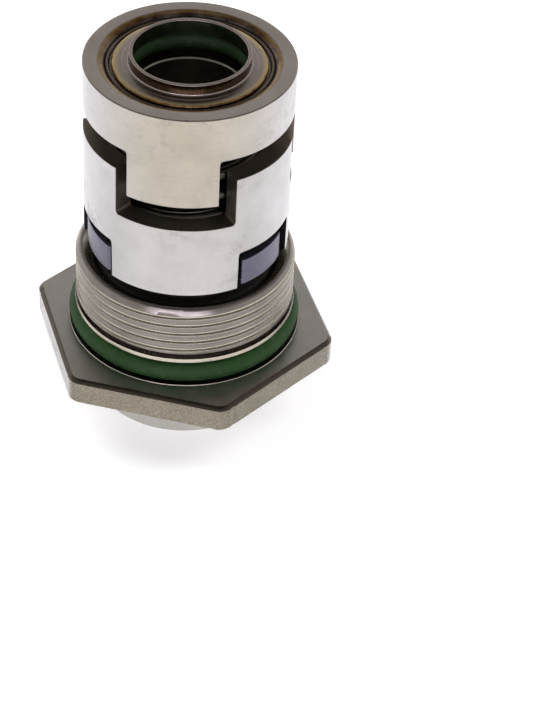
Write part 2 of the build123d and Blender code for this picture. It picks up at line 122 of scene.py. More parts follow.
@name_properties
class SealSizes(bpy.types.PropertyGroup):
    """Sizes of the seal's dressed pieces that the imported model's boxes don't give."""

    cage_wall: length("Wall of the driver cup and driver ring", 3.1)
    lug_angle: turn("Width of a cup lug round the axis", 51.4)
    lug_root: length("Level of the cup's edge between its lugs", 51.34)
    notch_angle: turn("Width of a driver ring notch round the axis", 68.8)
    notch_bottom: length("Level of the notch bottoms", 39.7)
    window_angle: turn("Width of a driver ring window round the axis", 45.0)
    window_top: length("Level of the window tops", 34.3)
    crown_turn: turn("Driver ring turned against the cup", 1.3)
    corner_round: length("Rounding in the corners of notches and roots", 0.5)
    edge_round: length("Broken edges of cut faces", 0.12)
    seal_lug_angle: turn("Width of a seal ring lug round the axis", 37.6)
    wire: length("Diameter of the spring wire", 1.8)
    spring_radius: length("Mean radius of the coil", 10.95)
    spring_pitch: length("Rise of one coil", 3.5)
    spring_turn: turn("Spring turned about the axis", 134.0)
    thread_radius: length("Crests of the M33 x 1.5 thread", 16.5)
    thread_pitch: length("Rise of one turn of the thread", 1.5)
    thread_depth: length("Crest to root of the shallow thread", 0.32)
    thread_mouth: length("Width of the thread's groove at the crests", 0.62)
    thread_entry: turn("Where the groove leaves the relief", 86.4)
    hexagon_flats: length("Across the flats of the hexagon", 41.0)
    hexagon_turn: turn("Hexagon turned against the cup", -6.25)


@name_properties
class SealFinishes(bpy.types.PropertyGroup):
    """Colours of the seal's materials."""

    # The cup's warm tone is partly painted reflection of warm things in front of it.
    cup_steel: colour("Polished stainless steel of the driver cup", "#BFB6A1")
    ring_steel: colour("Polished stainless steel of the driver ring", "#CBC7C3")
    # Painted sheen: the paler tone polished steel turns to at a slant.
    polished_sheen_tone: colour("Polished stainless steel seen at a slant", "#D8D5D8")
    faced_steel: colour("Turned end face of the cup", "#C2B9B2")
    turned_steel: colour("Carrier and turned inner pieces", "#A7A099")
    # Painted shade: the lead's tone is darker than the thread's.
    lead_shade_tone: colour("Rounded lead of the thread", "#8F8882")
    bored_steel: colour("Inside of the sleeve and of the cap ring's lip", "#B4AFA4")
    bar_steel: colour("Flats of the hexagon", "#A39C8C")
    # Painted sheen: the pale tone the hexagon's flats turn to at a slant.
    bar_sheen_tone: colour("Flats of the hexagon seen at a slant", "#F2F1F0")
    hexagon_steel: colour("Turned face of the hexagon", "#D0CCC6")
    # Also paints highlights on the burr and on the thread's up-facing edges.
    land_and_highlight_tone: colour("Land over the O-ring groove", "#CEC7B6")
    # Painted light: the collar's near-white tone.
    collar_light_tone: colour("Clamp collar", "#DEDBD5")
    # Painted shade: the chamfer's dark tone stands for the dark reflection it shows.
    chamfer_shade_tone: colour("Chamfer of the hexagon", "#5C544D")
    cut_steel: colour("Faces of slots and windows", "#8E867C")
    # Painted shade: the jambs' dark tone.
    jamb_shade_tone: colour("Jambs of the windows", "#2B2826")
    sheet_steel: colour("Cap ring", "#A0978F")
    # Painted shade: the dark tone of the lip's outer wall.
    lip_shade_tone: colour("Outer wall of the cap ring's lip", "#54463A")
    # Painted reflection: the green of the O-ring mirrored in the throat.
    throat_reflection_tone: colour("Inner wall of the cap ring's lip", "#66725A")
    weld_steel: colour("Weld bead at the cup's mouth", "#766A5C")
    # Painted shade: the wire's dark tone.
    wire_shade_tone: colour("Spring and snap rings", "#6A6660")
    ceramic: colour("Ground lugs of the seal ring", "#1E1E24")
    raw_ceramic: colour("Seal ring's nose and seat", "#262421")
    rubber: colour("Carrier O-ring", "#21401B")
    # Painted shade: a darker copy of the rubber for the shaft O-ring.
    shaft_ring_shade_tone: colour("Shaft O-ring", "#1B3016")
    plastic: colour("Backup washer", "#E4E3DD")
    black_steel: colour("Set screws", "#2A2A2C")


@name_properties
class SealStudio(bpy.types.PropertyGroup):
    """Floor, lamps and camera."""

    floor_colour: colour("Colour of the floor and cove", "#F4F4F4")
    floor_radius: length("Flat part of the floor", 1300.0)
    cove_radius: length("Outer wall of the cove", 2000.0)
    cove_height: length("Height of the cove", 750.0)
    focal_length: bpy.props.FloatProperty(description="Lens in millimetres", default=114.78)
    camera_place: bpy.props.FloatVectorProperty(
        description="Where the camera stands",
        default=(0.03993, -0.27041, 0.23817),
        subtype="TRANSLATION",
        precision=5,
    )
    camera_heading: turn("Camera turned from +Y towards -X", 5.65)
    camera_dip: turn("Camera pointing below the horizon", 40.686)
    camera_roll: turn("Camera turned about its own axis", 3.218)


# ---- modelling helpers ---------------------------------------------------------------------------


def round_outline(corners, fewest=2):
    """Outline points of (radius, level, rounding) corners in millimetres, rounded by arcs."""
    points = []
    last = len(corners) - 1
    for i, (r, z, rounding) in enumerate(corners):
        here = Vector((r, z))
        if rounding == 0 or i in (0, last):
            points.append(here)
            continue
        before = (here - Vector(corners[i - 1][:2])).normalized()
        after = (Vector(corners[i + 1][:2]) - here).normalized()
        bend = before.angle_signed(after)
        steps = max(fewest, round(abs(degrees(bend)) / ARC_STEP))
        side = Vector((-before.y, before.x)) * (-1 if bend > 0 else 1)
        start = here - before * rounding * tan(abs(bend) / 2)
        centre = start + side * rounding
        for k in range(steps + 1):
            spoke = (start - centre).copy()
            spoke.rotate(Matrix.Rotation(-bend * k / steps, 2))
            points.append(centre + spoke)
    return [(p.x, p.y) for p in points]


def draw_outline(name, points, closed=True):
    """A new piece in edit mode: one vertex, extruded along the outline of (radius, level)."""
    bpy.ops.object.select_all(action="DESELECT")
    bpy.ops.mesh.primitive_plane_add(size=MM)
    piece = bpy.context.object
    piece.name = piece.data.name = name
    bpy.ops.object.mode_set(mode="EDIT")
    bpy.ops.mesh.select_mode(type="VERT")
    bpy.ops.mesh.select_all(action="SELECT")
    bpy.ops.mesh.merge(type="CENTER")
    bpy.ops.transform.translate(value=(points[0][0] * MM, 0, points[0][1] * MM))
    for (r0, z0), (r1, z1) in zip(points, points[1:]):
        move = ((r1 - r0) * MM, 0, (z1 - z0) * MM)
        bpy.ops.mesh.extrude_region_move(TRANSFORM_OT_translate={"value": move})
    if closed:
        mesh = bmesh.from_edit_mesh(piece.data)
        mesh.verts.ensure_lookup_table()
        for end in (mesh.verts[0], mesh.verts[-1]):
            end.select_set(True)
        bmesh.update_edit_mesh(piece.data)
        bpy.ops.mesh.edge_face_add()
    bpy.ops.mesh.select_all(action="SELECT")
    return piece


def spin_outline(piece, stations):
    """Spin the selected outline through the stations, in degrees from 0, and close the ring."""
    stops = [*stations, 360.0]
    for here, there in zip(stops, stops[1:]):
        bpy.ops.mesh.spin(
            steps=1, angle=radians(there - here), center=(0, 0, 0), axis=AXIS, use_auto_merge=False
        )
    tidy_mesh()


def tidy_mesh():
    """Merge doubles and turn the faces outwards, in edit mode."""
    bpy.ops.mesh.select_all(action="SELECT")
    bpy.ops.mesh.remove_doubles(threshold=0.002 * MM)
    bpy.ops.mesh.normals_make_consistent(inside=False)


def finish_mesh(piece):
    """Leave edit mode and smooth all but the hard edges."""
    bpy.ops.object.mode_set(mode="OBJECT")
    bpy.ops.object.shade_smooth_by_angle(angle=HARD_EDGE)
    return piece


def cut_stations(coarse, edges=()):
    """Angles from 0 to 360 in about the coarse step, which hold every edge."""
    marks = sorted({round(edge % 360, 6) for edge in edges} | {0.0})
    stations = []
    for here, there in zip(marks, [*marks[1:], 360.0]):
        steps = max(1, round((there - here) / coarse))
        stations += [here + (there - here) * k / steps for k in range(steps)]
    return stations


def lathe(name, points, count, closed=True):
    """A turned piece from its outline, back in object mode with smooth walls."""
    piece = draw_outline(name, points, closed)
    spin_outline(piece, cut_stations(360 / count))
    return finish_mesh(piece)


def polar(place):
    """Radius in mm, angle in degrees and level in mm of a point of a mesh."""
    return hypot(place.x, place.y) / MM, degrees(atan2(place.y, place.x)), place.z / MM


def off_centre(angle, centre):
    """Signed angle in degrees from a centre line."""
    return (angle - centre + 180) % 360 - 180


def near_centres(angle, first, half_width):
    """Whether an angle lies within the half width of one of three centre lines."""
    return any(abs(off_centre(angle, first + third)) < half_width for third in THIRDS)


def outward(angle, normal):
    """The share of a normal at an angle that points away from the axis."""
    return normal.x * cos(radians(angle)) + normal.y * sin(radians(angle))


def each_vertex(piece, change):
    """Call change with every vertex, its radius, angle and level, in edit mode."""
    mesh = bmesh.from_edit_mesh(piece.data)
    for vertex in mesh.verts:
        change(vertex, *polar(vertex.co))
    bmesh.update_edit_mesh(piece.data)


def set_radius(vertex, now, wanted):
    """Move a vertex straight away from the axis or towards it."""
    vertex.co.x *= wanted / now
    vertex.co.y *= wanted / now


def select_where(piece, kind, test):
    """Select the parts of one kind whose radius, angle and level pass the test, in edit mode. It
    also gets a face's normal or an edge's run."""
    bpy.ops.mesh.select_mode(type=kind)
    bpy.ops.mesh.select_all(action="DESELECT")
    mesh = bmesh.from_edit_mesh(piece.data)
    parts = {"VERT": mesh.verts, "EDGE": mesh.edges, "FACE": mesh.faces}[kind]
    for part in parts:
        if kind == "VERT":
            part.select_set(test(*polar(part.co)))
        elif kind == "FACE":
            part.select_set(test(*polar(part.calc_center_median()), part.normal))
        else:
            ends = [v.co for v in part.verts]
            part.select_set(test(*polar((ends[0] + ends[1]) / 2), ends[1] - ends[0]))
    mesh.select_flush_mode()
    bmesh.update_edit_mesh(piece.data)


def push_faces(piece, level, move, test):
    """Extrude the level faces that look along the move and whose radius and angle pass."""

    def chosen(r, angle, z, normal):
        ahead = normal.z if move > 0 else -normal.z
        return abs(z - level) < 0.01 and ahead > LEVEL and test(r, angle)

    select_where(piece, "FACE", chosen)
    bpy.ops.mesh.extrude_region_move(TRANSFORM_OT_translate={"value": (0, 0, move)})


def round_corners(piece, level, first, half_width, rounding, cage, direction):
    """Round the corners of three cuts: move the vertices of their end edges by a quarter circle."""

    def move(vertex, r, angle, z):
        if abs(z - level) > SAME:
            return
        for third in THIRDS:
            inside = half_width - abs(off_centre(angle, first + third))
            run = radians(inside) * cage
            if -SAME < run < rounding:
                drop = rounding - sqrt(max(0.0, rounding**2 - (rounding - run) ** 2))
                vertex.co.z += direction * drop * MM

    each_vertex(piece, move)


def corner_stations(centre, half_width, rounding, cage):
    """Stations of the edges of three cuts and of the roundings in their corners."""
    offsets = [degrees(rounding * (1 - cos(radians(ARC_STEP * k))) / cage) for k in range(6)]
    return [
        centre + third + side * (half_width - offset)
        for third in THIRDS
        for side in (-1, 1)
        for offset in offsets
    ]


def break_edges(piece, width):
    """Bevel the hard edges between cut faces and walls."""
    bevel = piece.modifiers.new("broken_edges", "BEVEL")
    bevel.width = width
    bevel.segments = 2
    bevel.limit_method = "ANGLE"
    bevel.angle_limit = radians(50)
    bevel.use_clamp_overlap = False
    bpy.ops.object.modifier_apply(modifier=bevel.name)
    bpy.ops.object.shade_smooth_by_angle(angle=HARD_EDGE)


def paint_faces(piece, names, choose=None):
    """Give the piece its finishes and each face the one whose name choose returns for it."""
    piece.data.materials.clear()
    for name in names:
        piece.data.materials.append(finish(name))
    for face in piece.data.polygons:
        name = choose(*polar(face.center), face.normal) if choose else names[0]
        face.material_index = names.index(name)


def settle(piece, body, slot, *nodes):
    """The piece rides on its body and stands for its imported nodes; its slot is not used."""
    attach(piece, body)
    if nodes:
        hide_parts(*nodes)


# ---- materials -----------------------------------------------------------------------------------

COLOURS = {"data_type": "RGBA", "out": 2}  # a Mix node that mixes colours
DARKER = {**COLOURS, "blend_type": "MULTIPLY"}
MARKS = {"noise_dimensions": "1D"}  # a noise node that draws marks along one value
MOSTLY = (0.3, 0.7)  # soft noise has most of its values in this range
CLOUDED = (0.88, 0.88, 0.87, 1.0)  # what dull clouds on steel leave of its tone
SHADED = (0.3, 0.29, 0.28, 1.0)  # what grooves and pits in steel leave of its tone

# Heat tint: stops of (share of the way from the inner to the outer radius, colour).
FLANGE_TINT = (
    (0.0, "#A89C94"), (0.42, "#C6B594"), (0.74, "#E2C68C"), (0.9, "#A0733A"), (1.0, "#4A321C"),
)
# The near-black first stops are painted shade where the bevel drops beside the weld bead; the rest
# is heat tint.
MOUTH_TINT_AND_SHADE = (
    (0.0, "#0A0706"), (0.16, "#22150C"), (0.34, "#664519"), (0.62, "#967230"), (1.0, "#A59A8E"),
)


def set_inputs(node, inputs):
    """Give a node's inputs their values and links. A list goes by the order of the sockets."""
    for key, value in inputs.items() if isinstance(inputs, dict) else enumerate(inputs):
        if isinstance(value, bpy.types.NodeSocket):
            node.id_data.links.new(value, node.inputs[key])
        else:
            node.inputs[key].default_value = value


def add_node(tree, kind, inputs=(), out=0, stops=(), **settings):
    """Add a node with its settings, inputs and colour stops, and return one of its outputs."""
    node = tree.nodes.new("ShaderNode" + kind)
    for key, value in settings.items():
        setattr(node, key, value)
    set_inputs(node, inputs)
    if stops:
        ramp = node.color_ramp.elements
        ramp.remove(ramp[-1])
        ramp[0].position, ramp[0].color = stops[0]
        for at, shade in stops[1:]:
            ramp.new(at).color = shade
    return node.outputs[out]


def new_material(name, inputs):
    """A material, its Principled shader with plain values, and what adds nodes to it."""
    material = bpy.data.materials.new(name)
    material.use_nodes = True
    shader = material.node_tree.nodes["Principled BSDF"]
    set_inputs(shader, inputs)
    return material, shader, partial(add_node, material.node_tree)


def object_places(add):
    """Object coordinates, and x, y, level and distance from the shaft axis by name, in metres."""
    place = add("TexCoord", out="Object")
    x, y, level = add("SeparateXYZ", [place]).node.outputs
    radius = add("VectorMath", [add("CombineXYZ", [x, y])], out="Value", operation="LENGTH")
    return place, {"x": x, "y": y, "level": level, "radius": radius}


def set_surface(shader, base, normal, rough=0.5):
    """Give a material's shader its colour, bump and roughness."""
    set_inputs(shader, {"Base Color": base, "Roughness": rough, "Normal": normal})


def soft(place, size, detail=3.0):
    """Inputs of soft noise with features of about the size in mm."""
    return {"Vector": place, "Scale": 1 / (size * MM), "Detail": detail, "Roughness": 0.55}


def lines(along, spacing):
    """Inputs of irregular tool marks that repeat along a radius or level, spacing in mm."""
    return {"W": along, "Scale": 1 / (spacing * MM), "Detail": 3.0, "Roughness": 0.6}


def relief(height, depth):
    """Inputs of a bump from a height pattern of the given depth in mm."""
    return {"Height": height, "Distance": depth * MM, "Strength": 1.0}


def between(share, first, second):
    """Inputs of a Mix node that mixes colours."""
    return {0: share, 6: first, 7: second}


def steel(
    name, tone, roughness, marks, spacing, depth,
    side=None, slant=(0.05, 0.55), smudges=0.0, grain=0.0, lined=0.0, pebbled=0.0,
):
    """Stainless steel with clouded tone and roughness, and tool marks of the spacing and depth in
    mm along the "radius" or the "level". side is the tone seen at a slant of this range, a painted
    sheen that stands for brighter reflection there; smudges darken finger marks, grain is the depth
    of a pebbled skin in mm, and lined and pebbled are how dark the marks and the pebbles look. A
    tool's real feed is about 0.1 mm and buffing is finer still: both are drawn as coarse as they
    need to show."""
    haze, patch, hand, smear, pebble = 5.0, 1.6, 9.0, 2.2, 0.28  # sizes of the patterns in mm
    material, shader, add = new_material(name, {"Metallic": 1.0})
    place, along = object_places(add)
    # Painted sheen: at a slant the tone turns to side, which stands for brighter reflection there.
    if side:
        facing = add("LayerWeight", {"Blend": 0.4}, out="Facing")
        tone = add("Mix", between(add("MapRange", [facing, *slant]), tone, side), **COLOURS)
    clouds = add("MapRange", [add("TexNoise", soft(place, haze, 5.0)), 0.32, 0.68])
    shade = add("Mix", between(1.0, tone, CLOUDED), **DARKER)
    base = add("Mix", between(clouds, shade, tone), **COLOURS)
    patches = add("TexNoise", soft(place, patch))
    rough = add("MapRange", [patches, *MOSTLY, roughness * 0.8, roughness * 1.2])
    if smudges:
        where = add("MapRange", [add("TexNoise", soft(place, hand, 1.0)), 0.46, 0.64])
        stains = add("TexNoise", soft(place, smear, 4.0))
        stains = add("MapRange", [stains, 0.48, 0.75, 0.0, smudges])
        stains = add("Math", [stains, where], operation="MULTIPLY")
        base = add("Mix", between(stains, base, linear("#77736E")), **COLOURS)
        rough = add("Math", [rough, stains], operation="ADD")
    grooves = add("TexNoise", lines(along[marks], spacing), **MARKS)
    pebbles = add("TexNoise", soft(place, pebble, 2.0))
    for pattern, share in ((grooves, lined), (pebbles, pebbled)):
        if share:
            dark = add("Mix", between(1.0, base, SHADED), **DARKER)
            where = add("MapRange", [pattern, 0.36, 0.68, 0.0, share])
            base = add("Mix", between(where, base, dark), **COLOURS)
    normal = add("Bump", relief(grooves, depth))
    if grain:
        normal = add("Bump", {**relief(pebbles, grain), "Normal": normal})
    set_surface(shader, base, normal, rough)
    return material


def tinted_steel(name, base, inner, outer, tints, streak, roughness, creep):
    """Stainless steel with heat tint: its colours follow the radius, between two in mm. They are
    blotched and drawn out into streaks, by the streak share, where the weld's heat crept up to
    the creep in mm."""
    material, shader, add = new_material(name, {"Metallic": 1.0})
    place, along = object_places(add)
    angle = add("Math", [along["y"], along["x"]], operation="ARCTAN2")
    streaks = {"W": angle, "Scale": 26.0, "Detail": 4.0, "Roughness": 0.6}
    streaks = add("TexNoise", streaks, **MARKS)
    blotches = add("TexNoise", soft(place, 1.2, 4.0))
    drawn = add("Mix", {0: streak, 2: blotches, 3: streaks}, data_type="FLOAT")
    drawn = add("MapRange", [drawn, 0.25, 0.75, -creep * MM, creep * MM])
    radius = add("Math", [along["radius"], drawn], operation="ADD")
    share = add("MapRange", [radius, inner * MM, outer * MM])
    tint = add("ValToRGB", [share], stops=[(at, linear(shade)) for at, shade in tints])
    clouds = add("MapRange", [add("TexNoise", soft(place, 3.0)), *MOSTLY, 0.0, 0.25])
    base = add("Mix", between(clouds, tint, base), **COLOURS)
    rough = add("MapRange", [blotches, *MOSTLY, roughness * 0.85, roughness * 1.15])
    grooves = add("TexNoise", lines(along["radius"], 0.16), **MARKS)
    normal = add("Bump", relief(grooves, 0.003))
    set_surface(shader, base, normal, rough)
    return material


def ceramic(name, tone, sheen, index, roughness):
    """Sintered silicon carbide, ground: dark grey, hard and glossy like dark glass, with grain
    of a few hundredths drawn coarser so that it shows."""
    values = {"IOR": index, "Specular Tint": linear(sheen)}
    material, shader, add = new_material(name, values)
    place = add("TexCoord", out="Object")
    specks = add("TexNoise", soft(place, 0.25, 4.0))
    lighter = (*[min(1.0, c * 1.8) for c in tone[:3]], 1.0)
    base = add("Mix", between(add("MapRange", [specks, 0.4, 0.65]), tone, lighter), **COLOURS)
    patches = add("TexNoise", soft(place, 2.0))
    rough = add("MapRange", [patches, *MOSTLY, roughness * 0.8, roughness * 1.2])
    normal = add("Bump", relief(specks, 0.002))
    set_surface(shader, base, normal, rough)
    return material


def rubber(name, tone):
    """Moulded fluorocarbon rubber: deep green with a soft gloss and a trace of dust, its skin
    drawn coarse enough to show."""
    material, shader, add = new_material(name, {"IOR": 1.33})
    place = add("TexCoord", out="Object")
    dusty = add("Mix", between(0.1, tone, linear("#8E9A85")), **COLOURS)
    share = add("MapRange", [add("TexNoise", soft(place, 1.2, 4.0)), 0.55, 0.75])
    base = add("Mix", between(share, tone, dusty), **COLOURS)
    rough = add("MapRange", [add("TexNoise", soft(place, 3.0)), *MOSTLY, 0.48, 0.6])
    normal = add("Bump", relief(add("TexNoise", soft(place, 0.2)), 0.004))
    set_surface(shader, base, normal, rough)
    return material


def plastic(name, tone):
    """Turned PTFE: waxy white with faint rings."""
    material, shader, add = new_material(name, {"IOR": 1.38})
    place, along = object_places(add)
    shade = (*[c * 0.9 for c in tone[:3]], 1.0)
    share = add("MapRange", [add("TexNoise", soft(place, 1.5)), *MOSTLY])
    base = add("Mix", between(share, shade, tone), **COLOURS)
    grooves = add("TexNoise", lines(along["radius"], 0.2), **MARKS)
    normal = add("Bump", relief(grooves, 0.004))
    set_surface(shader, base, normal)
    return material


def make_materials():
    """All finishes of the seal, by name."""
    tones = bpy.context.scene.seal_finishes
    return {
        # Polished on a buff: mirrors the paper round it, with finger marks. Its tone is partly
        # painted reflection: warm in front, paler at a slant.
        "cup": steel(
            "polished_stainless_cup", tones.cup_steel, 0.17, "level", 0.4, 0.001,
            tones.polished_sheen_tone, smudges=0.25, lined=0.05, pebbled=0.08,
        ),
        "ring": steel(
            "polished_stainless_ring", tones.ring_steel, 0.14, "level", 0.4, 0.001,
            tones.polished_sheen_tone, smudges=0.36, lined=0.04, pebbled=0.06,
        ),
        # Faced on a lathe: a satin sheen with fine rings.
        "faced": steel(
            "faced_stainless", tones.faced_steel, 0.34, "radius", 0.14, 0.004, lined=0.12
        ),
        # Turned on a lathe: satin with fine lines round the axis and a pitted skin.
        "turned": steel(
            "turned_stainless", tones.turned_steel, 0.3, "level", 0.15, 0.006,
            grain=0.003, lined=0.75,
        ),
        # The thread's lead is turned smoother: it shines in one soft band. Its tone, darker than
        # the thread's, is painted shade.
        "lead": steel(
            "turned_lead_shaded", tones.lead_shade_tone, 0.22, "level", 0.12, 0.002, grain=0.001, lined=0.5
        ),
        # Bored and polished: deep holes look nearly black between their highlights.
        "bored": steel("bored_stainless", tones.bored_steel, 0.34, "level", 0.2, 0.002),
        # Hexagon bar as rolled and descaled: a pebbled skin, with a painted sheen that turns it
        # pale at a slant.
        "bar": steel(
            "rolled_bar_stainless", tones.bar_steel, 0.4, "level", 0.6, 0.002,
            tones.bar_sheen_tone, (0.4, 0.8), grain=0.05, pebbled=0.55,
        ),
        # The hexagon's face is faced in fine rings: pale and satin.
        "hexagon": steel(
            "faced_hexagon", tones.hexagon_steel, 0.36, "radius", 0.2, 0.005,
            grain=0.003, pebbled=0.12,
        ),
        # The land over the O-ring groove is turned bright; its lighter tone also paints highlights
        # on the burr round the O-ring's seat and on the thread's up-facing faces. The collar is
        # ground, and its near-white tone is painted light that brightens it where the hexagon
        # shades it.
        "land": steel("bright_turned_land_and_painted_highlights", tones.land_and_highlight_tone, 0.26, "level", 0.3, 0.001),
        "collar": steel("ground_collar_painted_light", tones.collar_light_tone, 0.3, "level", 0.2, 0.002),
        # The hexagon's chamfered rim: turned, in a dark tone that paints the dark reflection of the
        # room above.
        "chamfer": steel(
            "hexagon_chamfer_painted_shade", tones.chamfer_shade_tone, 0.16, "radius", 0.3, 0.004, grain=0.006
        ),
        # Milled slots: duller and darker than the polished skin.
        "milled": steel("milled_stainless", tones.cut_steel, 0.42, "radius", 0.2, 0.004),
        # The windows' jambs get a dark tone: painted shade, which stands for the dark lugs they
        # mirror.
        "sawn": steel("jamb_painted_shade", tones.jamb_shade_tone, 0.4, "radius", 0.2, 0.004),
        # The weld's heat drew gold and brown bands round the cup's mouth; the black at the mouth's
        # inner edge is painted shade.
        "sheet": tinted_steel(
            "pressed_sheet", tones.sheet_steel, 10.15, 11.15, FLANGE_TINT, 0.1, 0.3, 0.12
        ),
        "tint": tinted_steel(
            "heat_tinted_and_shaded_stainless", tones.faced_steel, 12.05, 13.3, MOUTH_TINT_AND_SHADE, 0.22, 0.3, 0.3
        ),
        # The lip's wall took the heat too, and its dark tone is painted shade; its inside is
        # polished, and its green tone is the O-ring's reflection painted in.
        "lip": steel("lip_painted_shade", tones.lip_shade_tone, 0.2, "level", 0.2, 0.002),
        "throat": steel("polished_throat_painted_reflection", tones.throat_reflection_tone, 0.36, "level", 0.3, 0.001),
        # Weld metal froze as it lay: a glossy, tinted skin over its ripples.
        "weld": steel("weld_metal", tones.weld_steel, 0.26, "radius", 0.3, 0.003),
        # Drawn through a die: smooth, in a dark tone that is painted shade on the coils inside the
        # cage.
        "wire": steel("drawn_wire_painted_shade", tones.wire_shade_tone, 0.2, "level", 0.5, 0.001),
        # Ground lugs shine cold; as sintered inside, the same carbide is dull and black.
        "ceramic": ceramic("silicon_carbide", tones.ceramic, "#DEDDFB", 2.5, 0.26),
        "raw_ceramic": ceramic("sintered_silicon_carbide", tones.raw_ceramic, "#FFF8F0", 1.25, 0.6),
        "rubber": rubber("green_fluorocarbon_rubber", tones.rubber),
        # The same rubber in a darker tone: painted shade for the shaft O-ring inside the cup.
        "rubber_shaded": rubber("shaded_fluorocarbon_rubber", tones.shaft_ring_shade_tone),
        "plastic": plastic("white_ptfe", tones.plastic),
        # Blackened in a salt bath: dark and satin.
        "black": steel("blackened_steel", tones.black_steel, 0.4, "radius", 0.2, 0.004),
    }


FINISHES = {}


def finish(name):
    """A finished material by its short name, made with all others at first use."""
    if not FINISHES:
        FINISHES.update(make_materials())
    return FINISHES[name]


# ---- operators: the pieces -----------------------------------------------------------------------


class SEAL_OT_driver_cup(bpy.types.Operator):
    """Driver cup: turned block, three lugs hanging down, heat-tinted mouth."""

    bl_idname = "seal.driver_cup"
    bl_label = "Driver Cup"

    # The mouth's rounded bevel and the seat of the weld, as (radius, drop below the end face).
    bevel = (
        (13.2, 0.0), (12.95, 0.03), (12.7, 0.12), (12.45, 0.26), (12.22, 0.47), (12.07, 0.72),
        (12.03, 0.88), (11.5, 0.88),
    )

    def execute(self, context):
        size = context.scene.seal_sizes
        cage, top = CUP_HIGH.y / MM, CUP_HIGH.z / MM
        inner, root = cage - size.cage_wall / MM, size.lug_root / MM
        half = degrees(size.lug_angle) / 2
        rounding = size.corner_round / MM
        rim = 0.15  # chamfer of the outer edge
        ledge, floor, web = top - 1.0, top - 5.0, top - 6.1
        chamber, bore = 11.0, 9.04  # of the shaft O-ring and of the sleeve
        outline = [
            (inner, root),
            (cage, root),
            (cage, top - rim),
            (cage - rim, top),
            *[(r, top - drop) for r, drop in self.bevel],
            (11.5, ledge),
            (chamber, ledge),
            *round_outline([(chamber, ledge, 0), (chamber, floor, 0.3), (bore, floor, 0)])[1:],
            (bore, web),
            (inner, web),
        ]
        gaps = FRONT + 60
        piece = draw_outline("driver_cup_turned", outline)
        spin_outline(piece, cut_stations(COARSE, corner_stations(gaps, 60 - half, rounding, cage)))
        drop = CUP_LOW.z - size.lug_root
        push_faces(piece, root, drop, lambda r, a: near_centres(a, FRONT, half))
        round_corners(piece, root, gaps, 60 - half, rounding, cage, -1)
        finish_mesh(piece)
        break_edges(piece, size.edge_round)

        def choose(r, a, z, n):
            if z > ledge - 0.01 and 11.4 < r < 13.6 and n.z > 0.05:
                return "tint"
            if n.z > 0.5 and z > top - 0.3:
                # The outer chamfer of the end face takes the darker milled tone: a painted dark
                # line.
                return "milled" if r > cage - 0.14 else "faced"
            skin = r > cage - 0.3 and abs(n.z) < LEVEL and outward(a, n) > OUTSIDE
            return "cup" if skin else "milled"

        paint_faces(piece, ("cup", "faced", "tint", "milled"), choose)
        settle(piece, "sleeve", "polished_stainless", "driver_cup")
        return {"FINISHED"}


class SEAL_OT_weld_bead(bpy.types.Operator):
    """Weld bead that closes the cup's mouth, with the ripples of its travel."""

    bl_idname = "seal.weld_bead"
    bl_label = "Weld Bead"

    middle, half_width, rise = 11.77, 0.29, 0.3  # the bead's section in mm
    ripples, swells = 165, 11  # waves round the mouth, short and long

    def execute(self, context):
        top = CUP_HIGH.z / MM
        low, foot = top - 0.86, top - 0.9
        outline = [
            (self.middle + self.half_width * cos(radians(t)), low + self.rise * sin(radians(t)))
            for t in range(0, 181, 30)
        ]
        outline += [(self.middle - self.half_width, foot), (self.middle + self.half_width, foot)]
        piece = draw_outline("weld_bead", outline)
        spin_outline(piece, cut_stations(360 / (4 * self.ripples)))

        def ripple(vertex, r, angle, z):
            if z - low > 0.05:
                # Each ripple trails at the bead's edges.
                lag = 2.2 * ((r - self.middle) / self.half_width) ** 2
                wave = sin(radians(angle * self.ripples) + lag)
                vertex.co.z += 0.016 * (wave + 0.4 * sin(radians(angle * self.swells))) * MM

        each_vertex(piece, ripple)
        finish_mesh(piece)
        bpy.ops.object.shade_smooth()
        paint_faces(piece, ("weld",))
        settle(piece, "sleeve", "turned_stainless")
        return {"FINISHED"}


class SEAL_OT_cap_ring(bpy.types.Operator):
    """Cap ring: pressed sheet with a turned step, a curved root and a rolled lip."""

    bl_idname = "seal.cap_ring"
    bl_label = "Cap Ring"

    def execute(self, context):
        low, high = CAP_LOW.z / MM, CAP_HIGH.z / MM
        edge, flange = CAP_HIGH.x / MM, low + 0.6
        step = flange + 0.05
        throat, foot = 8.15, 8.6
        corners = [
            (foot, low, 0), (edge, low, 0.1), (edge, flange - 0.03, 0.28), (9.72, flange, 0.03),
            (9.62, step, 0.03), (8.74, step, 0.3), (8.72, high, 0.14), (throat, high, 0.16),
            (throat, low, 0.3), (foot, low, 0),
        ]
        piece = lathe("cap_ring_pressed", round_outline(corners, 3)[:-1], 160)

        def choose(r, a, z, n):
            # The throat takes the painted green reflection, and the lip's outer wall takes the
            # painted shade.
            if r < throat + 0.15 and z < high - 0.2:
                return "throat"
            return "lip" if r < 9.0 and flange + 0.3 < z < high - 0.1 else "sheet"

        paint_faces(piece, ("sheet", "throat", "lip"), choose)
        settle(piece, "sleeve", "turned_stainless", "cap_ring")
        return {"FINISHED"}


